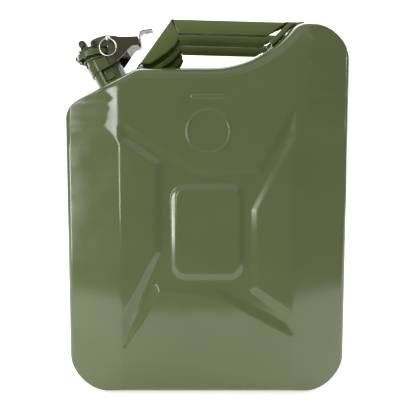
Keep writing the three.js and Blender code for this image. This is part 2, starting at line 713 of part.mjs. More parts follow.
// The bare steel tab that the thumb lifts: two lugs inside the tail, an upright and a bent lip.
function thumbTab() {
  const half = 8;
  const lugOuter = 10.4;
  const lugFoot = 4.5;
  const lugTop = 9.5;
  const sheet = 1.3;
  const side = [[59.6, 1.6], [57.6, 14.5], [58.6, 19.6], [61, 21.4], [74.6, 23.4]];
  const slot = roundedRectangle({ x: 68, z: 0, halfLength: 3.2, halfHeight: 2, corner: 1.9 });
  const lugs = [-lugOuter, lugOuter - sheet].map((y) => box(50, 58.6, y, y + sheet, lugFoot, lugTop));
  return cut(
    join(
      bentStrip(side, -1.5, -half, half),
      box(57.6, 58.8, -lugOuter, lugOuter, lugFoot, lugTop),
      ...lugs,
    ),
    planPrism(polygon(slot), 10, 40),
  );
}

// The hollow rivet that the lever turns on.
function pivotRivet() {
  const shankEnd = CHEEK_OUTER + 1;
  const headFoot = CHEEK_OUTER + GAP;
  const headTop = headFoot + 1.2;
  const boreRadius = 1.3;
  const boreFoot = 20;
  return cut(
    join(
      barAlongY(0, 0, PIVOT.pin, -shankEnd, shankEnd),
      barAlongY(0, 0, PIVOT.head, -headTop, -headFoot),
      barAlongY(0, 0, PIVOT.head, headFoot, headTop),
    ),
    barAlongY(0, 0, boreRadius, -headTop - 1, -boreFoot, 12),
    barAlongY(0, 0, boreRadius, boreFoot, headTop + 1, 12),
  );
}

// The lock pin: a shaft through both cheeks, a collar and a ball head drilled for the ring.
function safetyPin() {
  const { x, z, radius, head, headY, tip } = LOCK_PIN;
  const ball = new THREE.SphereGeometry(head, 20, 14);
  ball.translate(x, headY, z);
  const drill = new THREE.CylinderGeometry(LOCK_PIN.eye, LOCK_PIN.eye, 12, 16);
  drill.rotateZ(Math.PI / 2);
  drill.translate(x, headY, z);
  const collarOuter = -CHEEK_OUTER - GAP;
  return cut(
    join(
      barAlongY(x, z, radius, headY + 1.9, tip),
      barAlongY(x, z, LOCK_PIN.collar, collarOuter - 0.9, collarOuter),
      solidOf(ball),
    ),
    solidOf(drill),
  );
}

function pullRing() {
  const ring = new THREE.TorusGeometry(PULL_RING.radius, PULL_RING.wire, 8, 40);
  ring.rotateX(Math.PI / 2);
  ring.translate(LOCK_PIN.x, LOCK_PIN.headY, LOCK_PIN.z - PULL_RING.radius);
  return solidOf(ring);
}

// ---------------------------------------------------------------- materials and assembly

const paint = (color) => new THREE.MeshStandardMaterial({ color, roughness: 0.25, metalness: 0 });
const olive = paint(0x5b6440);
const darkOlive = paint(0x42462c);
const zinc = new THREE.MeshStandardMaterial({ color: 0xd2d0c8, roughness: 0.3, metalness: 1 });
const rubber = new THREE.MeshStandardMaterial({ color: 0x1c1c1a, roughness: 0.85, metalness: 0 });

function piece(name, solid, material) {
  const mesh = new THREE.Mesh(solid instanceof THREE.BufferGeometry ? solid : geometryOf(solid), material);
  mesh.name = name;
  return mesh;
}

// A group whose origin is a point of the can's XZ plane and whose Z leans towards -X.
function frameAt([x, z], lean, ...pieces) {
  const group = new THREE.Group();
  group.position.set(x, 0, z);
  group.rotation.y = -lean;
  group.add(...pieces);
  return group;
}

function body() {
  const near = geometryOf(nearShell());
  const group = new THREE.Group();
  group.add(piece('shell_near', near, olive));
  group.add(piece('shell_far', mirrored(near), olive));
  group.add(piece('seam_weld', seamWeld(), olive));
  return group;
}

function handles() {
  const group = new THREE.Group();
  const strap = geometryOf(handleStrap());
  ['handle_near', 'handle_middle', 'handle_far'].forEach((name, i) => {
    const handle = piece(name, strap, olive);
    handle.position.y = (i - 1) * HANDLE_SPACING;
    group.add(handle);
  });
  return group;
}

const neck = frameAt(neckFoot, SLOPE_ANGLE,
  piece('neck_tube', neckTube(), olive),
  piece('neck_rim', neckRim(), olive),
  piece('neck_collar', neckCollar(), olive),
  piece('breather_tube', breatherTube(), olive),
  piece('neck_bracket', neckBracket(), olive));

const lid = frameAt([LID_X, LID_Z], LID_TILT,
  piece('lid_hinge_pin', hingePin(), zinc),
  piece('lid_cap', lidCap(), olive),
  piece('lid_gasket', lidGasket(), rubber),
  piece('gasket_plate', gasketPlate(), zinc),
  piece('lid_rivet', lidRivet(), darkOlive),
  piece('lid_bracket', lidBracket(), darkOlive));

const latch = frameAt([PIVOT_X, PIVOT_Z], 0,
  piece('lever', lever(), darkOlive),
  piece('thumb_tab', thumbTab(), zinc),
  piece('lever_pivot_rivet', pivotRivet(), darkOlive),
  piece('safety_pin', safetyPin(), zinc),
  piece('pull_ring', pullRing(), zinc));

const can = new THREE.Group();
can.add(body(), handles(), neck, lid, latch);
can.position.x = centring;

export default can;
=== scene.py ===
"""The looks of a pressed-steel jerry can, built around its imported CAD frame."""
import json
import math

import bmesh
import bpy
import numpy as np
from mathutils import Matrix, Vector


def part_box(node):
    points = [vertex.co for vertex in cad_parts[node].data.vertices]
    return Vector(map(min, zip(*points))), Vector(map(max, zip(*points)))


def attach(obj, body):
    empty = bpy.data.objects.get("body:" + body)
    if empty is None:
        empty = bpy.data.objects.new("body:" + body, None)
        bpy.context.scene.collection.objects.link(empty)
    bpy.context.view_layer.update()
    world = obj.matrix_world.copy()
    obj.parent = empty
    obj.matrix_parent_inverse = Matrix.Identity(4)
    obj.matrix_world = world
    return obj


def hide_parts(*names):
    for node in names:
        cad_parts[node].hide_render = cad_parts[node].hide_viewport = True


MM = 0.001
DEG = math.pi / 180
SHARP = 35 * DEG          # edges sharper than this stay sharp when a mesh is shaded smooth

# The body, in millimetres, with x measured from the middle of the body
HALF_LENGTH = 176.0
HALF_WIDTH = 82.5
RIM_DEPTH = 22.0          # the rounding between the side wall and the face, across the width
RIM_INSET = 12.0          # and along the face
CREASE_X = 105.0          # where the face bends back towards the can's end
CREASE_ROUNDING = 1.6
BEVEL = 13.5 * DEG        # how steeply it runs back from there
END_ROUNDING = 9.0
BASE_CORNER = 53.0
SHOULDER_HEIGHT = 405.5
SHOULDER_BREAK_X = -84.9
SHOULDER_BEND = 28.0
SLOPE = 27.5 * DEG
FRONT_CORNER = 35.0
HUMP_TOP = 459.0
HUMP_BACK = 55.0
HUMP_FRONT = 25.0
HUMP_FRONT_X = 119.2
HOLLOW = 125.0
GROOVE_DEPTH = 8.0
GROOVE_HALF = 9.0
SEAM_HALF_GAP = 0.15
BEAD_RADIUS = 2.3

# The flattened band beside the crease, near the shoulder: its edge waves and has one notch
BAND = {
    "width": 17.0, "foot": 308.0, "fade": 26.0, "edge_rounding": 1.5, "least_width": 3.0,
    "notch_z": 366.0, "notch_depth": 0.55, "notch_size": 5.0,
    "wave": 0.16, "wave_length": 5.2, "ripple": 0.08, "ripple_length": 2.3,
}

# The pressing in each face
PRESSING_DEPTH = 3.4
PRESSING_RUN = 12.0
PAD_RUN = 9.0
CROSS = [
    (-100, 331), (-13, 279), (63, 280), (103, 349), (103, 322), (57, 233), (57, 135), (103, 101),
    (103, 82), (15, 132), (-60, 138), (-100, 66), (-100, 98), (-59, 182), (-58, 289), (-100, 319),
]
PAD = {"x": 0.5, "z": 206.0, "half_length": 37.0, "half_height": 51.0, "corner": 11.0}

# The marks that stand on each face, with their reliefs as (distance outwards, height) pairs
RING_MARK = {"x": 2.0, "z": 327.0, "radius": 25.5}
RING_RELIEF = [(3.0, -0.3), (2.3, 0.05), (1.5, 0.42), (0.5, 0.66)]
BAR_MARK = {"x": 0.5, "z": 369.0, "half_length": 20.0, "half_height": 2.2}
BAR_RELIEF = [(1.3, -0.4), (0.8, 0.1), (0.0, 0.65), (-1.0, 1.05), (-2.0, 1.2)]

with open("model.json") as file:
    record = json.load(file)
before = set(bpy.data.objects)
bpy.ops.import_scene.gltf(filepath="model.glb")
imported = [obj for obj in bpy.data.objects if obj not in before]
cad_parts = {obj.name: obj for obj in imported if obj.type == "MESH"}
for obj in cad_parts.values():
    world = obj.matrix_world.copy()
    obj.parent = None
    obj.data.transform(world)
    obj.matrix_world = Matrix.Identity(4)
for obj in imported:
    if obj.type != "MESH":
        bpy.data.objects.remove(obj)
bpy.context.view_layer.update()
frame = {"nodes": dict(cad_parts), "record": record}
nodes = frame["nodes"]


def mid(node):
    low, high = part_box(node)
    return (Vector(low) + Vector(high)) / 2


BODY_X = mid("shell_near").x / MM


# ------------------------------------------------------------------ small maths

def smooth_step(t):
    t = np.clip(t, 0, 1)
    return t * t * (3 - 2 * t)


def soft_ramp(t, rounding=0.25):
    """Rises from 0 to 1 along a straight slope whose two ends are rounded off."""
    t = np.clip(t, 0, 1)
    slope = 1 / (1 - rounding)
    low = 0.5 * slope / rounding * t ** 2
    high = 1 - 0.5 * slope / rounding * (1 - t) ** 2
    middle = slope * (t - rounding / 2)
    return np.where(t < rounding, low, np.where(t > 1 - rounding, high, middle))


def soft_min(a, b, width):
    """The smaller of two values, rounded over where they come within width of each other."""
    h = np.clip(0.5 + 0.5 * (b - a) / width, 0, 1)
    return b + (a - b) * h - width * h * (1 - h)


def polygon_distance(x, z, corners):
    """Signed distance to a polygon's edge, negative inside."""
    points = np.array(corners, float)
    nearest = np.full(x.shape, 1e9)
    inside = np.zeros(x.shape, bool)
    for (ax, az), (bx, bz) in zip(points, np.roll(points, -1, axis=0)):
        ex, ez = bx - ax, bz - az
        t = np.clip(((x - ax) * ex + (z - az) * ez) / (ex * ex + ez * ez), 0, 1)
        nearest = np.minimum(nearest, np.hypot(x - ax - t * ex, z - az - t * ez))
        crosses = (az > z) != (bz > z)
        with np.errstate(divide="ignore", invalid="ignore"):
            inside ^= crosses & (x < ax + (z - az) * ex / (ez if ez else 1e-9))
    return np.where(inside, -nearest, nearest)


def rounded_box_distance(x, z, shape, corner):
    """Signed distance to a rounded box's edge, negative inside."""
    qx = np.abs(x - shape["x"]) - shape["half_length"] + corner
    qz = np.abs(z - shape["z"]) - shape["half_height"] + corner
    outside = np.hypot(np.maximum(qx, 0), np.maximum(qz, 0))
    return outside + np.minimum(np.maximum(qx, qz), 0) - corner


# ------------------------------------------------------------------ the body's outline

def outline_arcs():
    """The side outline as arcs, counter-clockwise: centre, radius, start, end, hollow or not."""
    right = math.pi / 2
    hump_z = HUMP_TOP - HUMP_FRONT
    rise = SHOULDER_HEIGHT + HOLLOW - hump_z
    hollow_x = HUMP_FRONT_X - math.sqrt((HOLLOW + HUMP_FRONT) ** 2 - rise ** 2)
    hollow_z = SHOULDER_HEIGHT + HOLLOW
    meeting = math.atan2(hollow_z - hump_z, hollow_x - HUMP_FRONT_X)
    bend_x = SHOULDER_BREAK_X + SHOULDER_BEND * math.tan(SLOPE / 2)
    corner_x = -HALF_LENGTH + FRONT_CORNER
    drop = FRONT_CORNER + (SHOULDER_BREAK_X - corner_x) * math.sin(SLOPE)
    corner_z = SHOULDER_HEIGHT - drop / math.cos(SLOPE)
    base_x = HALF_LENGTH - BASE_CORNER
    return [
        (-base_x, BASE_CORNER, BASE_CORNER, 2 * right, 3 * right, False),
        (base_x, BASE_CORNER, BASE_CORNER, 3 * right, 4 * right, False),
        (HALF_LENGTH - HUMP_BACK, HUMP_TOP - HUMP_BACK, HUMP_BACK, 0, right, False),
        (HUMP_FRONT_X, hump_z, HUMP_FRONT, right, meeting, False),
        (hollow_x, hollow_z, HOLLOW, meeting - math.pi, -right, True),
        (bend_x, SHOULDER_HEIGHT - SHOULDER_BEND, SHOULDER_BEND, right, right + SLOPE, False),
        (corner_x, corner_z, FRONT_CORNER, right + SLOPE, 2 * right, False),
    ]


def outline(inset=0.0, spacing=3.2):
    """Points along the outline, moved inwards by inset. The same point keeps the same index."""
    arcs = outline_arcs()

    def arc_points(arc, reach_change):
        cx, cz, radius, start, end, hollow = arc
        count = max(6, round(abs(end - start) * radius / spacing))
        angle = np.linspace(start, end, count + 1)
        reach = radius + reach_change if hollow else radius - reach_change
        return np.stack([cx + reach * np.cos(angle), cz + reach * np.sin(angle)], 1)

    points = []
    for arc, follower in zip(arcs, arcs[1:] + arcs[:1]):
        here, there = arc_points(arc, inset), arc_points(follower, inset)
        gap = np.linalg.norm(arc_points(follower, 0)[0] - arc_points(arc, 0)[-1])
        count = round(gap / spacing)
        if count < 1:
            points.append(here[:-1])
            continue
        points.append(here)
        steps = np.arange(1, count)[:, None] / max(count, 1)
        points.append(here[-1] + (there[0] - here[-1]) * steps)
    return np.concatenate(points)


def band_width(z):
    """How wide the flattened band beside the crease is at a height."""
    notch = 1 - BAND["notch_depth"] * np.exp(-((z - BAND["notch_z"]) / BAND["notch_size"]) ** 2)
    upper = smooth_step((z - BAND["foot"]) / BAND["fade"]) * notch
    wave = BAND["wave"] * np.sin(z / BAND["wave_length"])
    ripple = BAND["ripple"] * np.sin(z / BAND["ripple_length"] + 1)
    return BAND["width"] * upper * (1 + wave + ripple)


def plan_depth(x, z):
    """How far the face stands from the seam: flat, then sloping, then the end's rounding."""
    width = band_width(z)
    past = np.abs(x) - CREASE_X
    eased = 0.5 * (past + np.sqrt(past ** 2 + CREASE_ROUNDING ** 2))
    flattened = 0.5 * soft_min(eased, width, BAND["edge_rounding"])
    eased = eased - flattened * smooth_step(width / BAND["least_width"])
    slope = HALF_WIDTH - eased * math.tan(BEVEL)
    centre_x = HALF_LENGTH - END_ROUNDING
    centre_y = HALF_WIDTH - (END_ROUNDING + (centre_x - CREASE_X) * math.sin(BEVEL)) / math.cos(BEVEL)
    over = np.clip(np.abs(x) - centre_x, 0, END_ROUNDING)
    round_end = centre_y + np.sqrt(END_ROUNDING ** 2 - over ** 2)
    return np.where(over > END_ROUNDING * math.sin(BEVEL), round_end, slope)


def rim_depth(depth_in):
    """The rim's quarter ellipse by the distance from the outline; past it, a mirrored one."""
    inside = np.clip(1 - depth_in / RIM_INSET, -1, 1)
    arc = RIM_DEPTH * (1 - np.sqrt(1 - inside ** 2))
    return HALF_WIDTH - np.sign(inside) * arc


def pressed(x, z):
    """How far the face is pushed in at a point."""
    cross = soft_ramp(polygon_distance(x, z, CROSS) / PRESSING_RUN + 0.5)
    pad = soft_ramp(rounded_box_distance(x, z, PAD, PAD["corner"]) / PAD_RUN)
    return PRESSING_DEPTH * (1 - cross) * pad


def waviness(x, z):
    """The slight unevenness of a large pressed sheet, in millimetres."""
    height = 0.10
    slow = np.sin(x / 31 + 1.3) * np.sin(z / 43 + 0.4)
    quick = 0.6 * np.sin(x / 19 - z / 27)
    return height * (slow + quick)


def face_height(x, z, depth_in):
    """How far the face stands from the seam, with its rim, its pressing and its unevenness."""
    blend, calm_edge, calm_fade = 1.2, 4, 24
    face = soft_min(rim_depth(depth_in), plan_depth(x, z), blend)
    calm = smooth_step((depth_in - calm_edge) / calm_fade)
    return face - pressed(x, z) + waviness(x, z) * calm


# ------------------------------------------------------------------ mesh helpers

def mesh_object(name, vertices, faces, to_world=None):
    """A new object from millimetre vertices in a local frame."""
    mesh = bpy.data.meshes.new(name)
    mesh.from_pydata([tuple(float(c) * MM for c in v) for v in vertices], [], faces)
    mesh.validate()
    mesh.update()
    if to_world is not None:
        mesh.transform(to_world)
    piece = bpy.data.objects.new(name, mesh)
    bpy.context.collection.objects.link(piece)
    return piece


def shade_smooth(piece, angle=SHARP):
    """Smooth shading, broken where two faces meet at more than the angle."""
    mesh = piece.data
    mesh.polygons.foreach_set("use_smooth", [True] * len(mesh.polygons))
    mesh.set_sharp_from_angle(angle=angle)


def grid_faces(rows, columns, closed_rows=False, closed_columns=True):
    """Quads of a grid whose vertex (i, j) has the index i * columns + j."""
    faces = []
    for i in range(rows if closed_rows else rows - 1):
        for j in range(columns if closed_columns else columns - 1):
            i1, j1 = (i + 1) % rows, (j + 1) % columns
            faces.append((i * columns + j, i * columns + j1, i1 * columns + j1, i1 * columns + j))
    return faces


def local_frame(x, z, lean=0.0):
    """A frame in the can's XZ plane, x from the body's middle, whose Z leans towards -X."""
    origin = Matrix.Translation(Vector(((x + BODY_X) * MM, 0, z * MM)))
    return origin @ Matrix.Rotation(-lean, 4, "Y")


def lathe(name, profile, to_world, segments=72, closed=True):
    """A profile of (radius, height) points turned about the local Z."""
    vertices = []
    for i in range(segments):
        angle = 2 * math.pi * i / segments
        vertices += [(r * math.cos(angle), r * math.sin(angle), z) for r, z in profile]
    faces = grid_faces(segments, len(profile), closed_rows=True, closed_columns=closed)
    piece = mesh_object(name, vertices, [tuple(reversed(f)) for f in faces], to_world)
    shade_smooth(piece)
    return piece


def rounded_profile(corners, steps=4):
    """A closed (radius, height) profile whose corners (r, z, rounding) are rounded off."""
    points = []
    count = len(corners)
    for i, (r, z, rounding) in enumerate(corners):
        here = Vector((r, z))
        before = Vector(corners[i - 1][:2])
        after = Vector(corners[(i + 1) % count][:2])
        if rounding <= 0:
            points.append(tuple(here))
            continue
        start = here + (before - here).normalized() * rounding
        end = here + (after - here).normalized() * rounding
        for k in range(steps + 1):
            t = k / steps
            bend = start * (1 - t) ** 2 + here * 2 * t * (1 - t) + end * t ** 2
            points.append(tuple(bend))
    return points


def tube(name, path, radius_at, sides=12, closed=False, to_world=None):
    """A tube along a path of millimetre points; radius_at(i, angle) gives its radius."""
    points = [Vector(p) for p in path]
    count = len(points)
    vertices = []
    for i, point in enumerate(points):
        ahead = points[(i + 1) % count] if closed or i < count - 1 else point
        behind = points[i - 1] if closed or i > 0 else point
        tangent = (ahead - behind).normalized()
        across = tangent.cross(Vector((0, 1, 0)))
        across = across.normalized() if across.length > 1e-6 else Vector((1, 0, 0))
        other = tangent.cross(across)
        for k in range(sides):
            angle = 2 * math.pi * k / sides
            reach = radius_at(i, angle)
            vertices.append(point + across * reach * math.cos(angle) + other * reach * math.sin(angle))
    faces = grid_faces(count, sides, closed_rows=closed)
    if not closed:
        last = (count - 1) * sides
        faces += [tuple(reversed(range(sides))), tuple(range(last, last + sides))]
    piece = mesh_object(name, vertices, faces, to_world)
    fix_normals(piece)
    shade_smooth(piece, 60 * DEG)
    return piece


def fix_normals(piece):
    """Turns all of the faces the same way round."""
    bm = bmesh.new()
    bm.from_mesh(piece.data)
    bmesh.ops.recalc_face_normals(bm, faces=bm.faces)
    bm.to_mesh(piece.data)
    bm.free()


def add_bevel(piece, width, segments, angle):
    bevel = piece.modifiers.new("edge_rounding", "BEVEL")
    bevel.width = width * MM
    bevel.segments = segments
    bevel.limit_method = "ANGLE"
    bevel.angle_limit = angle


def refine(node, bevel_width):
    """Rounds the edges of a CAD node's sheet metal with modifiers; its mesh stays as it is."""
    piece = nodes[node]
    weld = piece.modifiers.new("weld", "WELD")
    weld.merge_threshold = 0.00001
    flat = piece.modifiers.new("flat_faces", "DECIMATE")
    flat.decimate_type = "DISSOLVE"
    flat.angle_limit = 1.0 * DEG
    add_bevel(piece, bevel_width, 2, 30 * DEG)
    weighted = piece.modifiers.new("even_shading", "WEIGHTED_NORMAL")
    weighted.keep_sharp = True
    for polygon in piece.data.polygons:
        polygon.use_smooth = True


# ------------------------------------------------------------------ the pressed halves

NECK_REACH = 41.5         # down the slope, from the shoulder's break to the neck's axis
NECK_FOOT = (
    SHOULDER_BREAK_X - NECK_REACH * math.cos(SLOPE),
    SHOULDER_HEIGHT - NECK_REACH * math.sin(SLOPE),
)
NECK_HOLE = 23.4          # the hole for the neck, by its radius
BEAD_STOP = 26.5          # the weld bead ends at this distance from the neck's axis


def distance_to_neck_axis(x, y, z):
    """The distance from the neck's axis near its foot, and far away everywhere else."""
    reach, far_away = 25, 1e9
    dx, dz = x - NECK_FOOT[0], z - NECK_FOOT[1]
    across = dx * math.cos(SLOPE) + dz * math.sin(SLOPE)
    along = -dx * math.sin(SLOPE) + dz * math.cos(SLOPE)
    return np.where(np.abs(along) < reach, np.hypot(across, y), far_away)


def groove_profile():
    """Across the side wall from the rim to the seam: (distance from the seam, inset) pairs."""
    wall = np.linspace(44, 14, 6)
    bank = np.linspace(12.5, 3.5, 13)
    floor = [2.2, SEAM_HALF_GAP]
    bank_top, bank_width = GROOVE_HALF + 3.2, 7.0
    across = np.concatenate([wall, bank, floor])
    return [(float(y), float(GROOVE_DEPTH * smooth_step((bank_top - y) / bank_width))) for y in across]


def face_ring(points, depth_in):
    """A loop of points on the face, over points of the outline that lie depth_in inside it."""
    x, z = points[:, 0], points[:, 1]
    return np.stack([x, face_height(x, z, depth_in), z], 1)


def pressed_half(name, side):
    """One pressed half: a face with its rim, its side wall and its half of the seam groove."""
    rim_steps, face_steps = 16, 118
    slant = 0.9               # the face's rays meet the outline at a slant, so depth is less
    rings = []
    for y, inset in reversed(groove_profile()):
        points = outline(inset)
        rings.append(np.stack([points[:, 0], np.full(len(points), y), points[:, 1]], 1))
    for k in range(rim_steps + 1):
        inset = RIM_INSET * (1 - math.cos(0.5 * math.pi * k / rim_steps))
        points = outline(inset)
        rings.append(face_ring(points, np.full(len(points), inset)))
    inner = outline(RIM_INSET)
    centre = np.array([PAD["x"], PAD["z"]])
    reach = np.linalg.norm(inner - centre, axis=1)
    for k in range(1, face_steps):
        share = 1 - k / face_steps
        rings.append(face_ring(centre + (inner - centre) * share, RIM_INSET + reach * (1 - share) * slant))
    columns = len(inner)
    vertices = np.concatenate(rings)
    faces = grid_faces(len(rings), columns)
    last = (len(rings) - 1) * columns
    faces.append(tuple(range(last, last + columns)))
    in_hole = distance_to_neck_axis(vertices[:, 0], vertices[:, 1], vertices[:, 2]) < NECK_HOLE
    faces = [face for face in faces if not all(in_hole[list(face)])]
    vertices[:, 1] *= side
    if side < 0:
        faces = [tuple(reversed(face)) for face in faces]
    piece = mesh_object(name, vertices, faces, local_frame(0, 0))
    drop_loose_vertices(piece)
    shade_smooth(piece, 60 * DEG)
    return piece


def drop_loose_vertices(piece):
    """Deletes the vertices that no face uses, and turns all of the faces the same way round."""
    bm = bmesh.new()
    bm.from_mesh(piece.data)
    bmesh.ops.delete(bm, geom=[vertex for vertex in bm.verts if not vertex.link_faces], context="VERTS")
    bm.to_mesh(piece.data)
    bm.free()
    fix_normals(piece)


def on_face(x, z, height, side):
    """A point that stands above the near or the far face by a height."""
    drop = float(pressed(np.array([x]), np.array([z]))[0])
    return (x, side * (HALF_WIDTH + height + float(waviness(x, z)) - drop), z)


def ring_relief(side):
    """Vertices and faces of the raised ring."""
    inner = [(-offset, height) for offset, height in reversed(RING_RELIEF)]
    profile = RING_RELIEF + inner
    around = 96
    vertices = []
    for i in range(around):
        angle = 2 * math.pi * i / around
        for offset, height in profile:
            reach = RING_MARK["radius"] + offset
            x = RING_MARK["x"] + reach * math.cos(angle)
            z = RING_MARK["z"] + reach * math.sin(angle)
            vertices.append(on_face(x, z, height, side))
    return vertices, grid_faces(around, len(profile), closed_rows=True)


def bar_relief(side):
    """Vertices and faces of the raised bar, whose two ends are round."""
    half = BAR_MARK["half_length"] - BAR_MARK["half_height"]
    steps = 9
    vertices = []
    for grow, height in BAR_RELIEF:
        reach = max(BAR_MARK["half_height"] + grow, 0.2)
        for end in (1, -1):
            for k in range(steps):
                angle = (math.pi * k / (steps - 1) - math.pi / 2) + (0 if end > 0 else math.pi)
                x = BAR_MARK["x"] + end * half + reach * math.cos(angle)
                z = BAR_MARK["z"] + reach * math.sin(angle)
                vertices.append(on_face(x, z, height, side))
    around = 2 * steps
    top = (len(BAR_RELIEF) - 1) * around
    return vertices, grid_faces(len(BAR_RELIEF), around) + [tuple(range(top, top + around))]


def raised_marks(name, side):
    """The plain ring and the bar that stand on a face, as one low-relief piece."""
    vertices, faces = ring_relief(side)
    start = len(vertices)
    bar_vertices, bar_faces = bar_relief(side)
    vertices += bar_vertices
    faces += [tuple(start + corner for corner in face) for face in bar_faces]
    piece = mesh_object(name, vertices, faces, local_frame(0, 0))
    fix_normals(piece)
    shade_smooth(piece, 60 * DEG)
    return piece


def weld_bead():
    """The bead in the groove's floor, with the ripples of a seam weld. It stops at the neck."""
    sunk, ripple_height, ripple_every = 0.6, 0.16, 3.3
    points = outline(GROOVE_DEPTH - sunk, spacing=0.9)
    at_neck = distance_to_neck_axis(points[:, 0], np.zeros(len(points)), points[:, 1]) < BEAD_STOP
    start = int(np.flatnonzero(at_neck)[-1]) + 1
    order = [(start + i) % len(points) for i in range(len(points) - int(at_neck.sum()))]
    path = [(points[i][0], 0.0, points[i][1]) for i in order]

    def ripple(i, angle):
        wave = i * 2 * math.pi / ripple_every + 0.9 * math.sin(angle)
        return BEAD_RADIUS + ripple_height * math.sin(wave)

    return tube("seam_bead", path, ripple, sides=10, to_world=local_frame(0, 0))


# ------------------------------------------------------------------ handles

HANDLE = {"width": 24.0, "fold": 2.4, "front": (-43.5, 465.4), "foot_x": -87.0, "sheet": 1.6}
LIFT = 2.1                # the strap's outer side above the can where it lies on it
OVERLAP = 0.3             # how much lower its tail's line lies than its bar's end
BEND_REACH = 2.6          # the front bend's reach along the leg and along the bar
TAIL_DROP = 0.15          # how far the tail's section is let down

# How deep the folded sides are: on the near side and on the far side, by the strap's stretch
FLANGES = {
    "leg": (22.0, 22.0), "bend": (0.0, 0.0), "bar": (17.0, 12.0), "bare": (0.0, 0.0), "tail": (7.0, 7.0),
}
# and as (distance, share of that depth), from the front bend and from the bar's rear end
LEG_TAPER = [(BEND_REACH, 0.15), (11, 0.9), (20, 1.0), (34, 0.91), (59, 0.5), (67, 0.0)]
BAR_TAPER = [(BEND_REACH, 0.15), (7.5, 1.0)]
BAR_REAR_TAPER = [(-44, 1.0), (-27, 0.25)]


def handle_line():
    """Stations along the strap's leg and bar: (place, stretch, share of the flange's depth)."""
    hump = outline_arcs()[3]
    front = Vector(HANDLE["front"])
    foot = Vector((HANDLE["foot_x"], SHOULDER_HEIGHT + LIFT - HANDLE["sheet"]))
    rear = Vector((hump[0], hump[1] + HUMP_FRONT + LIFT))
    down = (foot - front).normalized()
    along_bar = (rear - front).normalized()
    bar_length = (rear - front).length
    stations = []
    for along in np.linspace((foot - front).length, BEND_REACH, 34):
        share = np.interp(along, *zip(*LEG_TAPER))
        stations.append((front + down * float(along), "leg", float(share)))
    start, end = front + down * BEND_REACH, front + along_bar * BEND_REACH
    for t in np.linspace(0.15, 0.85, 5):
        point = start * (1 - t) ** 2 + front * 2 * t * (1 - t) + end * t ** 2
        stations.append((point, "bend", 0.0))
    taper = BAR_TAPER + [(bar_length + back, share) for back, share in BAR_REAR_TAPER]
    for along in np.linspace(BEND_REACH, bar_length - 26.0, 44):
        share = np.interp(along, *zip(*taper))
        stations.append((front + along_bar * float(along), "bar", float(share)))
    for along in np.linspace(bar_length - 23, bar_length - 2, 6):
        stations.append((front + along_bar * float(along), "bare", 0.0))
    return stations


def tail_line():
    """Stations of the strap's tail, which lies on the hump's front and on its hollow slope."""
    fold_start, fold_fade, tail_end = 110 * DEG, 20 * DEG, -52 * DEG
    hump, hollow = outline_arcs()[3:5]
    stations = []
    for angle in np.linspace(hump[3] + 1.5 * DEG, hump[4], 9):
        reach = HUMP_FRONT + LIFT - OVERLAP
        point = Vector((hump[0] + reach * math.cos(angle), hump[1] + reach * math.sin(angle)))
        stations.append((point, "tail", float(smooth_step((angle - fold_start) / fold_fade))))
    for angle in np.linspace(hollow[3], tail_end, 12)[1:]:
        reach = HOLLOW - LIFT + OVERLAP
        point = Vector((hollow[0] + reach * math.cos(angle), hollow[1] + reach * math.sin(angle)))
        stations.append((point, "tail", 1.0))
    return stations


def strap_side(depth, hem_size):
    """Half of the strap's cross-section, from its crown over the fold to the flange's hem."""
    half, fold = HANDLE["width"] / 2, HANDLE["fold"]
    least, full_hem_depth, hem_turn = 0.15, 8, math.pi * 0.95
    fold_depth = min(fold, max(depth, least))
    hem = hem_size * min(1.0, depth / full_hem_depth)
    straight = max(depth - hem, fold_depth + 0.02)
    points = []
    for k in range(6):
        turn = k / 5 * math.pi / 2
        points.append((half - fold + fold * math.sin(turn), fold_depth * (1 - math.cos(turn))))
    for k in range(1, 4):
        points.append((half, fold_depth + (straight - fold_depth) * k / 3))
    for k in range(1, 7):
        turn = k / 6 * hem_turn
        points.append((half - hem * (1 - math.cos(turn)), straight + hem * math.sin(turn)))
    return points


def strap_section(near_depth, far_depth, hem_size):
    """The strap's cross-section: (across, depth) from the near flange's edge to the far one's."""
    half, crown_height, crown_base = HANDLE["width"] / 2, 0.35, 0.05
    near = [(-y, depth) for y, depth in reversed(strap_side(near_depth, hem_size))]
    crown = [(y, crown_base - crown_height * (1 - (y / half) ** 2)) for y in (-6.0, -3.0, 0.0, 3.0, 6.0)]
    return near + crown + strap_side(far_depth, hem_size)


def strap_sheet(stations, turned, middle_y):
    """Vertices and faces of one open sheet, with its section at each station. On a line that
    runs from the rear to the front, turned is -1 and the folds stand up."""
    vertices = []
    count = len(stations)
    for i, (point, stretch, share) in enumerate(stations):
        ahead = stations[min(i + 1, count - 1)][0]
        behind = stations[max(i - 1, 0)][0]
        tangent = (ahead - behind).normalized() * turned
        inwards = Vector((tangent.y, -tangent.x))
        near, far = FLANGES[stretch]
        section = strap_section(near * share, far * share, 0.3 if stretch == "leg" else 1.5)
        for y, depth in section:
            spot = point + inwards * (depth if turned > 0 else TAIL_DROP - depth)
            vertices.append((spot.x, middle_y + y, spot.y))
    return vertices, grid_faces(count, len(section), closed_columns=False)


def faces_up(piece):
    """Whether the normal of the piece's highest face points upwards."""
    top = max(piece.data.polygons, key=lambda polygon: polygon.center.z)
    return top.normal.z > 0


def handle(name, middle_y):
    """One carrying handle: a pressed strap with folded and hemmed sides."""
    vertices, faces = [], []
    for stations, turned in ((handle_line(), 1), (tail_line(), -1)):
        start = len(vertices)
        sheet_vertices, sheet_faces = strap_sheet(stations, turned, middle_y)
        vertices += sheet_vertices
        faces += [tuple(start + corner for corner in face) for face in sheet_faces]
    piece = mesh_object(name, vertices, faces, local_frame(0, 0))
    fix_normals(piece)
    thick = piece.modifiers.new("sheet", "SOLIDIFY")
    thick.thickness = HANDLE["sheet"] * MM
    thick.offset = -1 if faces_up(piece) else 1
    shade_smooth(piece, 50 * DEG)
    add_bevel(piece, 0.35, 2, 60 * DEG)
    return piece


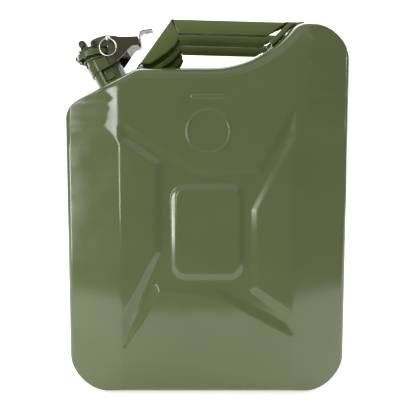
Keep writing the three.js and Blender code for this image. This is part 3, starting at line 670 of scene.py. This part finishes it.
# ------------------------------------------------------------------ neck and lid

LID_TILT = 12 * DEG
LID_PLACE = (-149.5, 431.2)
LID = {"radius": 28.3, "height": 8.0, "sheet": 1.4}
LID_HINGE = (-25.1, 3.9)  # the hinge's axis in the lid's own frame
KNUCKLE = {"bore": 1.9, "radius": 4.2, "inner": 4.1, "outer": 8.6}
STOP_ROLL = {"x": -16.4, "z": 23.6, "radius": 5.3, "half": 6.6}
NECK_RADIUS = 21.5
NECK_BORE = 20.0
MOUTH_DROP = 0.85         # the neck's mouth below the lid's foot

# The weld round the neck's foot, as (radius, height); the ripples of the weld reach its first points
FOOT_WELD = [
    (25.2, 0.45), (24.9, 1.5), (24.2, 2.5), (23.2, 2.9), (22.3, 2.7), (21.9, 3.4), (NECK_RADIUS, 4.6),
]
RIPPLED_POINTS = 5
WELD_RIPPLES = 46
WELD_RIPPLE_HEIGHT = 0.012


def neck_mouth():
    """The middle of the mouth in the neck's own frame."""
    dx = LID_PLACE[0] + MOUTH_DROP * math.sin(LID_TILT) - NECK_FOOT[0]
    dz = LID_PLACE[1] - MOUTH_DROP * math.cos(LID_TILT) - NECK_FOOT[1]
    return (dx * math.cos(SLOPE) + dz * math.sin(SLOPE), -dx * math.sin(SLOPE) + dz * math.cos(SLOPE))


def neck_column(angle):
    """The neck's profile at an angle: up outside, over the lip, down the bore and back."""
    mouth_x, mouth_z = neck_mouth()
    weld_top = FOOT_WELD[-1][1]
    rise, lip_drop, bore_foot = 6, 1.0, 13.0
    lip = 0.5 * (NECK_RADIUS - NECK_BORE)
    top = mouth_z - math.tan(SLOPE - LID_TILT) * (NECK_RADIUS * math.cos(angle) - mouth_x)
    ripple = 1 + WELD_RIPPLE_HEIGHT * math.sin(angle * WELD_RIPPLES)
    column = [(r * (ripple if k < RIPPLED_POINTS else 1), z) for k, (r, z) in enumerate(FOOT_WELD)]
    column += [(NECK_RADIUS, weld_top + (top - lip_drop - weld_top) * k / rise) for k in range(1, rise + 1)]
    for k in range(1, 6):
        turn = math.pi * k / 6
        column.append((NECK_RADIUS - lip + lip * math.cos(turn), top - lip + lip * math.sin(turn)))
    column += [(NECK_BORE, top - lip_drop - (top + bore_foot) * k / rise) for k in range(rise + 1)]
    column += [(NECK_RADIUS, -lip_drop - bore_foot), (NECK_RADIUS, -3.0)]
    return column


def neck_and_collar(name):
    """The neck tube, cut off along the lid's tilt, with the weld round its foot."""
    segments = 96
    vertices = []
    for i in range(segments):
        angle = 2 * math.pi * i / segments
        column = neck_column(angle)
        vertices += [(r * math.cos(angle), r * math.sin(angle), z) for r, z in column]
    faces = grid_faces(segments, len(column), closed_rows=True)
    piece = mesh_object(name, vertices, faces, local_frame(*NECK_FOOT, SLOPE))
    fix_normals(piece)
    shade_smooth(piece, 50 * DEG)
    return piece


def lid_cap(name):
    """The pressed lid: a shallow cup with a soft shoulder and a slot for the hinge tongue."""
    radius, height, sheet = LID["radius"], LID["height"], LID["sheet"]
    profile = rounded_profile([
        (0.01, height, 0), (radius, height, 2.2), (radius, 0.0, 0.5), (radius - sheet, 0.0, 0.5),
        (radius - sheet, height - sheet, 1.2), (0.01, height - sheet, 0),
    ], 5)
    piece = lathe(name, profile, None, segments=96, closed=False)
    slot_half, past_lid, past_sheet = KNUCKLE["inner"], 5, 2
    slot_end = LID_HINGE[0] + 3.9
    low = (-radius - past_lid, -slot_half, -past_sheet)
    boolean_cut(piece, box_cutter(low, (slot_end, slot_half, height + past_sheet)))
    for side in (-1, 1):
        add_knuckle(piece, side)
    piece.data.transform(local_frame(*LID_PLACE, LID_TILT))
    shade_smooth(piece, 40 * DEG)
    return piece


def turned_about_y(x, z):
    """A frame at a place in the XZ plane whose Z runs towards -Y."""
    return Matrix.Translation(Vector((x * MM, 0, z * MM))) @ Matrix.Rotation(90 * DEG, 4, "X")


def add_knuckle(lid, side):
    """Joins one of the two eyes that hold the hinge pin onto the lid's front."""
    low, high = sorted((side * KNUCKLE["inner"], side * KNUCKLE["outer"]))
    bore, radius = KNUCKLE["bore"], KNUCKLE["radius"]
    profile = rounded_profile(
        [(bore, -high, 0.2), (radius, -high, 0.6), (radius, -low, 0.6), (bore, -low, 0.2)], 3)
    eye = lathe("knuckle", profile, turned_about_y(*LID_HINGE), segments=40)
    bm = bmesh.new()
    bm.from_mesh(lid.data)
    bm.from_mesh(eye.data)
    bm.to_mesh(lid.data)
    bm.free()
    bpy.data.objects.remove(eye)


def stop_roll(name):
    """The sheet rolled up at the bracket's front, which stops the lever."""
    radius, half = STOP_ROLL["radius"], STOP_ROLL["half"]
    inner, shoulder, rounding = radius - 1.6, half - 1.0, 0.6
    profile = rounded_profile([
        (0.01, -half, 0), (inner, -half, rounding), (radius, -shoulder, rounding),
        (radius, shoulder, rounding), (inner, half, rounding), (0.01, half, 0),
    ], 3)
    to_world = local_frame(*LID_PLACE, LID_TILT) @ turned_about_y(STOP_ROLL["x"], STOP_ROLL["z"])
    return lathe(name, profile, to_world, segments=48, closed=False)


def box_cutter(low, high):
    """A box between two corners, as an object for boolean_cut."""
    bm = bmesh.new()
    bmesh.ops.create_cube(bm, size=1.0)
    for vertex in bm.verts:
        for axis in range(3):
            vertex.co[axis] = (low[axis] if vertex.co[axis] < 0 else high[axis]) * MM
    mesh = bpy.data.meshes.new("cutter")
    bm.to_mesh(mesh)
    bm.free()
    cutter = bpy.data.objects.new("cutter", mesh)
    bpy.context.collection.objects.link(cutter)
    return cutter


def boolean_cut(piece, cutter):
    """Cuts the piece, keeps the result as its mesh and deletes the cutter."""
    cut = piece.modifiers.new("cut", "BOOLEAN")
    cut.object = cutter
    cut.operation = "DIFFERENCE"
    cut.solver = "EXACT"
    bpy.context.view_layer.update()
    depsgraph = bpy.context.evaluated_depsgraph_get()
    result = bpy.data.meshes.new_from_object(piece.evaluated_get(depsgraph))
    piece.modifiers.clear()
    piece.data = result
    bpy.data.objects.remove(cutter)


# ------------------------------------------------------------------ pin and ring

def lock_pin(name):
    """The lock pin: a shaft with a chamfered tip, a collar and a ball head at the near end."""
    low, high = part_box("safety_pin")
    head, ball_radius, shaft = 28.2, 3.3, 2.0
    tip = -high[1] / MM
    profile = []
    for t in np.linspace(0.06, 2.45, 16):
        profile.append((ball_radius * math.sin(t), head + ball_radius * math.cos(t)))
    profile += [(shaft, head - 2.7)]
    profile += [(shaft, 25.9), (2.9, 25.85), (3.05, 25.6), (3.05, 25.2), (2.9, 24.97), (shaft, 24.9)]
    profile += [(shaft, tip + 1.2), (1.7, tip + 0.5), (1.1, tip + 0.1), (0.02, tip)]
    middle_x, middle_z = (low[0] + high[0]) / 2 / MM, (low[2] + high[2]) / 2 / MM
    return lathe(name, profile, turned_about_y(middle_x, middle_z), segments=40, closed=False)


def ring_of_wire(name):
    """The pull ring: a round wire bent into a circle, as large as its CAD node."""
    low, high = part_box("pull_ring")
    centre = (Vector(low) + Vector(high)) / 2 / MM
    wire = (high[1] - low[1]) / 2 / MM
    radius = (high[0] - low[0]) / 2 / MM - wire
    steps = 96
    path = []
    for k in range(steps):
        angle = 2 * math.pi * k / steps
        x, z = radius * math.cos(angle), radius * math.sin(angle)
        path.append((centre.x - BODY_X + x, centre.y, centre.z + z))
    return tube(name, path, lambda i, angle: wire, sides=14, closed=True, to_world=local_frame(0, 0))


# ------------------------------------------------------------------ materials

def new_material(name):
    """A new material, its node tree and its shader."""
    material = bpy.data.materials.new(name)
    material.use_nodes = True
    tree = material.node_tree
    return material, tree, tree.nodes["Principled BSDF"]


def add_node(tree, kind, **settings):
    """A node whose sockets and properties are set by name."""
    node = tree.nodes.new(kind)
    for key, value in settings.items():
        if key in node.inputs:
            node.inputs[key].default_value = value
        else:
            setattr(node, key, value)
    return node


def noise(tree, scale, detail=3.0, roughness=0.5):
    where = add_node(tree, "ShaderNodeTexCoord")
    node = add_node(tree, "ShaderNodeTexNoise", Scale=scale, Detail=detail, Roughness=roughness)
    tree.links.new(where.outputs["Object"], node.inputs["Vector"])
    return node


def remap(tree, source, low, high, new_low, new_high):
    """Maps the range low to high of a value onto new_low to new_high."""
    node = add_node(tree, "ShaderNodeMapRange")
    node.inputs["From Min"].default_value = low
    node.inputs["From Max"].default_value = high
    node.inputs["To Min"].default_value = new_low
    node.inputs["To Max"].default_value = new_high
    tree.links.new(source, node.inputs["Value"])
    return node.outputs["Result"]


def blend_colours(tree, factor, first, second):
    """Mixes two colours, each a tuple or another node's socket."""
    node = add_node(tree, "ShaderNodeMix", data_type="RGBA")
    colours = [socket for socket in node.inputs if socket.type == "RGBA"]
    for socket, colour in zip(colours, (first, second)):
        if hasattr(colour, "is_linked"):
            tree.links.new(colour, socket)
        else:
            socket.default_value = (*colour, 1)
    tree.links.new(factor, node.inputs["Factor"])
    return next(socket for socket in node.outputs if socket.type == "RGBA")


def bump(tree, height, strength, distance, before=None):
    node = add_node(tree, "ShaderNodeBump", Strength=strength, Distance=distance)
    tree.links.new(height, node.inputs["Height"])
    if before is not None:
        tree.links.new(before.outputs["Normal"], node.inputs["Normal"])
    return node


def gloss_paint(name, deep, bright, roughness=0.13, tail=None, ior=1.6):
    """Sprayed gloss enamel: orange peel, faint mottling and flecks, and an optional darker tail colour
    that the piece fades into along its length, as painted shade."""
    material, tree, shader = new_material(name)
    mottle = noise(tree, scale=14.0, detail=4.0)
    colour = blend_colours(tree, remap(tree, mottle.outputs["Fac"], 0.3, 0.7, 0, 1), deep, bright)
    # painted shade: the colour darkens into the tail colour along the piece's length
    if tail is not None:
        where = add_node(tree, "ShaderNodeTexCoord")
        axes = add_node(tree, "ShaderNodeSeparateXYZ")
        tree.links.new(where.outputs["Generated"], axes.inputs["Vector"])
        colour = blend_colours(tree, remap(tree, axes.outputs["X"], 0.15, 0.65, 0, 1), colour, tail)
    flecks = noise(tree, scale=900.0, detail=2.0)
    fleck_colour = tuple(channel * 0.82 for channel in deep)
    fleck_share = remap(tree, flecks.outputs["Fac"], 0.62, 0.75, 0, 0.5)
    tree.links.new(blend_colours(tree, fleck_share, colour, fleck_colour), shader.inputs["Base Color"])
    haze = noise(tree, scale=45.0, detail=5.0)
    dull = remap(tree, haze.outputs["Fac"], 0.3, 0.7, roughness * 0.8, roughness * 1.35)
    tree.links.new(dull, shader.inputs["Roughness"])
    peel = noise(tree, scale=420.0, detail=1.0)
    waves = noise(tree, scale=60.0, detail=1.0)
    wavy = bump(tree, waves.outputs["Fac"], strength=0.25, distance=0.0002)
    peeled = bump(tree, peel.outputs["Fac"], strength=0.12, distance=0.00006, before=wavy)
    tree.links.new(peeled.outputs["Normal"], shader.inputs["Normal"])
    shader.inputs["IOR"].default_value = ior
    return material


def plated_steel(name, dull=(0.60, 0.59, 0.55), bright=(0.80, 0.79, 0.76)):
    """Zinc-plated steel: fine grain, cloudy plating."""
    material, tree, shader = new_material(name)
    cloud = noise(tree, scale=160.0, detail=4.0)
    colour = blend_colours(tree, remap(tree, cloud.outputs["Fac"], 0.3, 0.7, 0, 1), dull, bright)
    tree.links.new(colour, shader.inputs["Base Color"])
    shader.inputs["Metallic"].default_value = 1.0
    tree.links.new(remap(tree, cloud.outputs["Fac"], 0.3, 0.7, 0.22, 0.38), shader.inputs["Roughness"])
    grain = noise(tree, scale=1500.0, detail=2.0)
    grainy = bump(tree, grain.outputs["Fac"], strength=0.2, distance=0.00004)
    tree.links.new(grainy.outputs["Normal"], shader.inputs["Normal"])
    return material


def rubber(name):
    """Black seal rubber: a pale bloom and fine pores."""
    material, tree, shader = new_material(name)
    bloom = noise(tree, scale=220.0, detail=4.0)
    black, bloomed = (0.013, 0.013, 0.012), (0.035, 0.034, 0.031)
    colour = blend_colours(tree, remap(tree, bloom.outputs["Fac"], 0.35, 0.7, 0, 1), black, bloomed)
    tree.links.new(colour, shader.inputs["Base Color"])
    tree.links.new(remap(tree, bloom.outputs["Fac"], 0.3, 0.7, 0.55, 0.8), shader.inputs["Roughness"])
    pores = noise(tree, scale=900.0, detail=2.0)
    pitted = bump(tree, pores.outputs["Fac"], strength=0.3, distance=0.00008)
    tree.links.new(pitted.outputs["Normal"], shader.inputs["Normal"])
    return material


def pale_paint(name):
    """The sweep's matt paint, which glows a little so that it stays nearly white."""
    material, tree, shader = new_material(name)
    grain = noise(tree, scale=3.0, detail=2.0)
    colour = blend_colours(tree, grain.outputs["Fac"], (0.86, 0.86, 0.85), (0.90, 0.90, 0.89))
    tree.links.new(colour, shader.inputs["Base Color"])
    tree.links.new(colour, shader.inputs["Emission Color"])
    shader.inputs["Emission Strength"].default_value = 0.65
    shader.inputs["Roughness"].default_value = 0.9
    return material


def finish_with(piece, material):
    """Gives a piece this material and no other."""
    piece.data.materials.clear()
    piece.data.materials.append(material)


# ------------------------------------------------------------------ studio

# Name, place, the point it faces, width and height, all in metres, and watts
LIGHTS = [
    ("left_strip", (-0.62, -1.15, 0.37), (-0.1, 0, 0.37), 0.12, 0.68, 2.5),
    ("left_window", (-1.26, -0.93, 0.45), (0, -0.08, 0.3), 0.20, 1.3, 10),
    ("left_side", (-1.15, 0.6, 0.7), (0, 0, 0.3), 0.20, 1.2, 5),
    ("right_side", (1.25, 0.35, 1.1), (0, 0, 0.3), 0.22, 2.2, 15),
    ("overhead", (0, 1.0, 1.9), (0, 0.2, 0), 2.4, 1.0, 26),
    ("front_fill", (0.1, -1.5, 2.0), (0, 0, 0.2), 3.2, 2.4, 13),
]
ROOM_COLOUR = (0.47, 0.47, 0.46, 1)


def soft_light(name, location, target, width, height, watts):
    """A rectangular area light that faces a point."""
    light = bpy.data.lights.new(name, "AREA")
    light.shape = "RECTANGLE"
    light.size, light.size_y = width, height
    light.energy = watts
    holder = bpy.data.objects.new(name, light)
    bpy.context.collection.objects.link(holder)
    holder.location = location
    holder.rotation_euler = (Vector(target) - Vector(location)).to_track_quat("-Z", "Y").to_euler()


def sweep():
    """A pale floor that ends in front of the can and curves up behind it into a wall."""
    half, turn_start, wall, bend, top = 2.2, 0.9, 1.4, 0.5, 2.2
    profile = [(-0.345, 0.0), (-0.2, 0.0), (0.3, 0.0), (0.8, 0.0)]
    for t in np.linspace(0.1, math.pi / 2, 10):
        profile.append((turn_start + bend * math.sin(t), bend - bend * math.cos(t)))
    profile += [(wall, 1.2), (wall, top)]
    vertices = []
    for y, z in profile:
        vertices += [(-half / MM, y / MM, z / MM), (half / MM, y / MM, z / MM)]
    piece = mesh_object("studio_sweep", vertices, grid_faces(len(profile), 2, closed_columns=False))
    fix_normals(piece)
    for polygon in piece.data.polygons:
        polygon.use_smooth = True
    finish_with(piece, pale_paint("pale_sweep"))


def studio():
    """The sweep, an even grey room and the soft lights."""
    sweep()
    world = bpy.data.worlds.new("studio_room")
    bpy.context.scene.world = world
    world.use_nodes = True
    world.node_tree.nodes["Background"].inputs["Color"].default_value = ROOM_COLOUR
    for light in LIGHTS:
        soft_light(*light)


def camera():
    """A camera in front of the near face, a little above its middle and tilted slightly down."""
    data = bpy.data.cameras.new("camera")
    data.sensor_width = 36.0
    data.lens = 34.065
    data.shift_y = -0.054
    holder = bpy.data.objects.new("camera", data)
    bpy.context.collection.objects.link(holder)
    holder.location = ((BODY_X - 8.6) * MM, -0.535, 0.299)
    holder.rotation_euler = ((90 - 3.5) * DEG, 0, 0)
    bpy.context.scene.camera = holder


# ------------------------------------------------------------------ assembly

def place(piece, body, slot, material, *replaced):
    """Finishes a piece, hangs it on its body's empty and hides the CAD nodes that it replaces."""
    finish_with(piece, material)
    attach(piece, body)
    if replaced:
        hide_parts(*replaced)


# The kept CAD nodes, with the rounding of their edges in millimetres
KEPT_NODES = {
    "neck_rim": 0.5, "breather_tube": 0.1, "neck_bracket": 0.2, "lid_hinge_pin": 0.3,
    "lid_gasket": 0.5, "gasket_plate": 0.3, "lid_rivet": 0.3, "lid_bracket": 0.4,
    "lever": 0.4, "thumb_tab": 0.35, "lever_pivot_rivet": 0.3,
}


def finishes():
    """Every material of the can, by a plain name."""
    return {
        "olive": gloss_paint("olive_enamel", (0.080, 0.101, 0.031), (0.088, 0.110, 0.035)),
        # the handles' copy of the olive with less blue: painted shade on the straps
        "strap": gloss_paint("olive_enamel_straps_painted_shade", (0.078, 0.101, 0.018), (0.086, 0.110, 0.022),
                             0.15, ior=1.5),
        # the neck's, lid's, rim's and bracket's copy of the olive, darker and greener: painted shade
        "closure": gloss_paint("olive_enamel_closure", (0.060, 0.077, 0.014), (0.074, 0.093, 0.020),
                               0.22, ior=1.42),
        "dark": gloss_paint("dark_olive_enamel", (0.034, 0.042, 0.015), (0.040, 0.048, 0.018),
                            0.22, ior=1.4),
        # the lever: a darker copy of the olive that darkens further towards its tail, all painted shade
        "lever": gloss_paint("lever_enamel_painted_shade", (0.060, 0.080, 0.024), (0.068, 0.088, 0.028),
                             0.25, tail=(0.050, 0.047, 0.020), ior=1.38),
        "zinc": plated_steel("plated_steel"),
        "bare": plated_steel("bare_steel", (0.10, 0.10, 0.085), (0.20, 0.195, 0.175)),
        "seal": rubber("seal_rubber_skin"),
    }


def detailed_pieces(looks):
    """The pieces that stand for CAD nodes or add to them."""
    olive, closure, zinc = looks["olive"], looks["closure"], looks["zinc"]
    place(pressed_half("pressed_half_near", -1), "can", "olive_paint", olive, "shell_near")
    place(pressed_half("pressed_half_far", 1), "can", "olive_paint", olive, "shell_far")
    place(raised_marks("face_marks_near", -1), "can", "olive_paint", olive)
    place(raised_marks("face_marks_far", 1), "can", "olive_paint", olive)
    place(weld_bead(), "can", "olive_paint", olive, "seam_weld")
    for name in ("near", "middle", "far"):
        node = "handle_" + name
        place(handle("strap_" + name, mid(node).y / MM), "can", "olive_paint", looks["strap"], node)
    place(neck_and_collar("neck_spout"), "can", "olive_paint", closure, "neck_tube", "neck_collar")
    place(lid_cap("pressed_lid"), "lid", "olive_paint", closure, "lid_cap")
    place(stop_roll("stop_roll"), "lid", "dark_olive_paint", looks["dark"])
    place(lock_pin("ball_head_pin"), "lock_pin", "zinc_steel", zinc, "safety_pin")
    place(ring_of_wire("wire_ring"), "ring", "zinc_steel", zinc, "pull_ring")


def kept_nodes(looks):
    """The CAD nodes that stay, with rounded edges and the finish of their slot or their own."""
    by_slot = {
        "olive_paint": looks["olive"], "dark_olive_paint": looks["dark"],
        "zinc_steel": looks["zinc"], "seal_rubber": looks["seal"],
    }
    own = {
        "lever": looks["lever"], "thumb_tab": looks["bare"],
        "neck_bracket": looks["closure"], "neck_rim": looks["closure"],
    }
    slots = {part["node"]: part["material_slot"] for part in frame["record"]["subparts"]}
    for node, width in KEPT_NODES.items():
        refine(node, width)
        finish_with(nodes[node], own.get(node, by_slot[slots[node]]))


looks = finishes()
detailed_pieces(looks)
kept_nodes(looks)
studio()
camera()
bpy.context.scene.view_settings.view_transform = "Standard"
